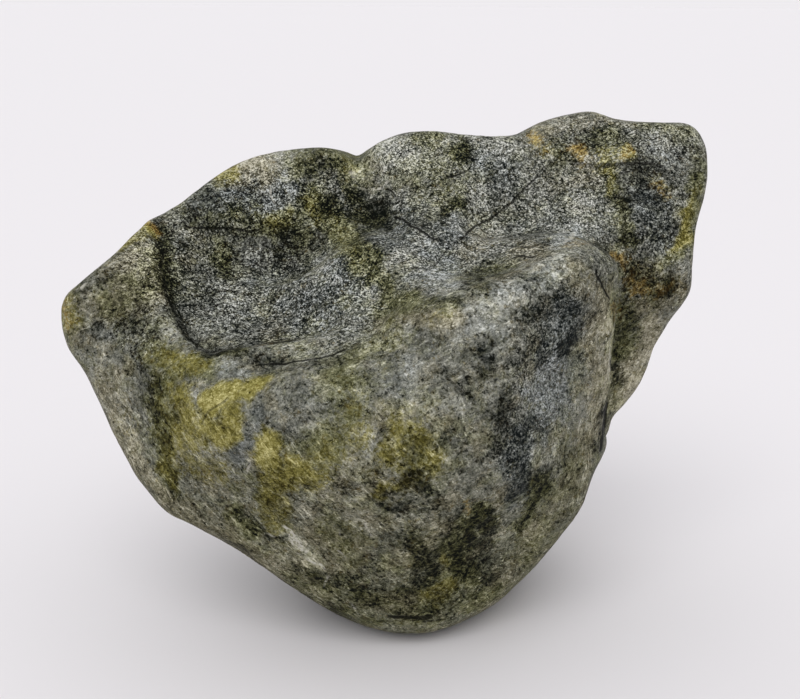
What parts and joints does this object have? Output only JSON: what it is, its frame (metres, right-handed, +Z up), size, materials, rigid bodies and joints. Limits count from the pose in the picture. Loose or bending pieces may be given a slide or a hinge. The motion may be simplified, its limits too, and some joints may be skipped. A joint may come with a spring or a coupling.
{
  "type": "hakkai stone",
  "caption": "River-worn viewing stone with a dished top, a bulging front that narrows downwards, a stepped lobe at one side and a small flat foot.",
  "frame": {"origin": "centre of the stone's bounding box in X and Y, at the level of its flat foot, which rests on the ground", "axes": "+X to the right along the longest extent, from the pointed end towards the stepped lobe; +Y to the back, along the depth, the shortest extent; +Z up. The bulging front with the dished top above it faces -Y"},
  "size_m": [0.1978, 0.1288, 0.1497],
  "materials": {
    "stone": "matt, river-worn, speckled grey-green with yellow-green and ochre patches"
  },
  "bodies": {
    "root": {"hakkai_stone": "stone"}
  },
  "joints": []
}
